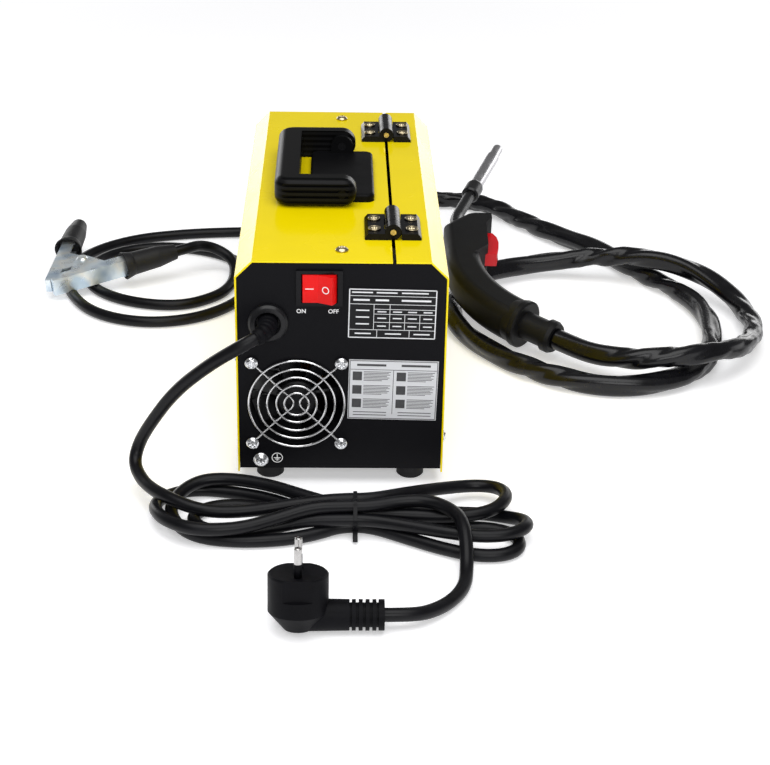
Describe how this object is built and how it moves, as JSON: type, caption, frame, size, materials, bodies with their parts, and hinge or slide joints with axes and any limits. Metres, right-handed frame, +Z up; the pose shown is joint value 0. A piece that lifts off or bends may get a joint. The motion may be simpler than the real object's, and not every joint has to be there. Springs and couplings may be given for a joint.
{
  "type": "mig welding machine",
  "caption": "Portable wire-feed welding machine in a bent sheet case with folding handle, hinged side door, rear fan, power rocker, coiled torch hose, earth clamp and tied mains lead with plug.",
  "frame": {"origin": "on the floor under the middle of the case, half way between the end panels", "axes": "+Z up; +Y from the rear panel (fan, switch and mains lead) to the front panel; +X to the hinged side door"},
  "size_m": [0.6114, 0.768, 0.1909],
  "materials": {
    "yellow_paint": "satin",
    "black_paint": "satin",
    "bare_steel": "satin",
    "chrome_wire": "polished",
    "black_plastic": "matte",
    "gloss_black": "gloss",
    "red_plastic": "gloss",
    "black_rubber": "matte",
    "plate": "satin",
    "aluminium": "satin",
    "copper": "satin",
    "brass": "satin",
    "board": "matte",
    "spool_plastic": "matte",
    "nozzle_metal": "satin"
  },
  "bodies": {
    "machine": {"chassis_tray": "black_paint", "feet": "black_rubber", "rear_panel": "black_paint", "front_panel": "black_paint", "divider_wall": "bare_steel", "main_cover": "yellow_paint", "lower_side_sheet": "yellow_paint", "case_screws": "bare_steel", "handle_base": "black_plastic", "pivot_pins": "bare_steel", "hinge_fixed_leaves": "black_plastic", "rocker_housing": "gloss_black", "cable_gland": "black_plastic", "fan_guard": "chrome_wire", "fan_frame": "black_plastic", "rear_plates": "plate", "power_board": "board", "heat_sinks": "aluminium", "transformer_and_choke": "copper", "current_sockets": "brass", "earth_plug": "black_rubber", "torch_outlet": "black_rubber", "spool_hub": "black_plastic", "feeder_frame": "aluminium", "feed_motor": "bare_steel", "torch_handle": "black_plastic", "swan_neck": "bare_steel", "gas_nozzle": "nozzle_metal", "contact_tip": "brass", "torch_collar": "black_rubber", "torch_hose": "gloss_black", "earth_cable": "black_rubber", "clamp_lower": "bare_steel", "clamp_lower_grip": "black_rubber", "clamp_rivet": "bare_steel", "mains_plug": "black_rubber", "plug_pins": "chrome_wire", "mains_lead_from_gland": "black_rubber", "mains_hank": "black_rubber", "mains_lead_to_plug": "black_rubber", "cable_tie": "black_plastic"},
    "door": {"side_door": "yellow_paint", "hinge_moving_leaves": "black_plastic", "hinge_screws_door": "bare_steel"},
    "latch": {"door_latch": "black_plastic"},
    "handle": {"handle_bail": "black_plastic"},
    "rocker": {"rocker_button": "red_plastic"},
    "fan": {"fan_rotor": "black_plastic"},
    "spool": {"wire_spool": "spool_plastic", "welding_wire": "bare_steel"},
    "nut": {"spool_nut": "black_plastic"},
    "drive": {"drive_roll": "bare_steel"},
    "arm": {"pressure_arm": "aluminium"},
    "press": {"pressure_roll": "bare_steel"},
    "tension": {"tension_screw": "bare_steel"},
    "voltage": {"voltage_knob": "black_plastic"},
    "wire_speed": {"wire_speed_knob": "black_plastic"},
    "trigger": {"torch_trigger": "red_plastic"},
    "clamp_arm": {"clamp_upper": "bare_steel", "clamp_upper_grip": "black_rubber"}
  },
  "joints": [
    {"name": "handle_fold", "type": "hinge", "parent": "machine", "child": "handle", "pos_m": [0, -0.002, 0.1804], "axis": [0, 1, 0], "range_deg": [0, 90]},
    {"name": "door_swing", "type": "hinge", "parent": "machine", "child": "door", "pos_m": [0.0352, 0, 0.1753], "axis": [0, -1, 0], "range_deg": [0, 110]},
    {"name": "door_latch_turn", "type": "hinge", "parent": "door", "child": "latch", "pos_m": [0.0718, 0, 0.06], "axis": [1, 0, 0], "range_deg": [0, 90]},
    {"name": "power_rocker", "type": "hinge", "parent": "machine", "child": "rocker", "pos_m": [-0.01485, -0.1631, 0.1502], "axis": [0, 0, 1], "range_deg": [0, 26]},
    {"name": "fan_spin", "type": "hinge", "parent": "machine", "child": "fan", "pos_m": [-0.0305, -0.15, 0.0639], "axis": [0, 1, 0], "continuous": true},
    {"name": "spool_spin", "type": "hinge", "parent": "machine", "child": "spool", "pos_m": [0.033, -0.084, 0.102], "axis": [1, 0, 0], "continuous": true},
    {"name": "nut_turn", "type": "hinge", "parent": "machine", "child": "nut", "pos_m": [0.06, -0.084, 0.102], "axis": [1, 0, 0], "range_deg": [0, 720]},
    {"name": "drive_roll_spin", "type": "hinge", "parent": "machine", "child": "drive", "pos_m": [0.033, 0.03, 0.0684], "axis": [1, 0, 0], "continuous": true},
    {"name": "tension_swing", "type": "hinge", "parent": "machine", "child": "tension", "pos_m": [0.0212, 0.06, 0.0604], "axis": [-1, 0, 0], "range_deg": [0, 75]},
    {"name": "pressure_arm_lift", "type": "hinge", "parent": "machine", "child": "arm", "pos_m": [0.0212, 0.004, 0.0972], "axis": [1, 0, 0], "range_deg": [0, 30]},
    {"name": "pressure_roll_spin", "type": "hinge", "parent": "arm", "child": "press", "pos_m": [0.033, 0.03, 0.0912], "axis": [1, 0, 0], "continuous": true},
    {"name": "wire_speed_turn", "type": "hinge", "parent": "machine", "child": "wire_speed", "pos_m": [-0.038, 0.1646, 0.13], "axis": [0, 1, 0], "range_deg": [0, 270]},
    {"name": "voltage_turn", "type": "hinge", "parent": "machine", "child": "voltage", "pos_m": [0.038, 0.1646, 0.13], "axis": [0, 1, 0], "range_deg": [0, 270]},
    {"name": "trigger_press", "type": "hinge", "parent": "machine", "child": "trigger", "pos_m": [0.12682, 0.19396, 0.04385], "axis": [0, 0.1392, -0.9903], "range_deg": [0, 8], "stiffness_Nm_per_rad": 0.3},
    {"name": "clamp_open", "type": "hinge", "parent": "machine", "child": "clamp_arm", "pos_m": [-0.22699, 0.18942, 0.01905], "axis": [0.0726, 0.0986, -0.9925], "range_deg": [0, 28], "stiffness_Nm_per_rad": 0.8, "springref_deg": -5.73}
  ],
  "couplings": [
    {"joint": "drive_roll_spin", "follows": "spool_spin", "ratio": -3.5},
    {"joint": "pressure_roll_spin", "follows": "spool_spin", "ratio": 4.2},
    {"joint": "pressure_arm_lift", "follows": "tension_swing", "ratio": 0.4}
  ]
}
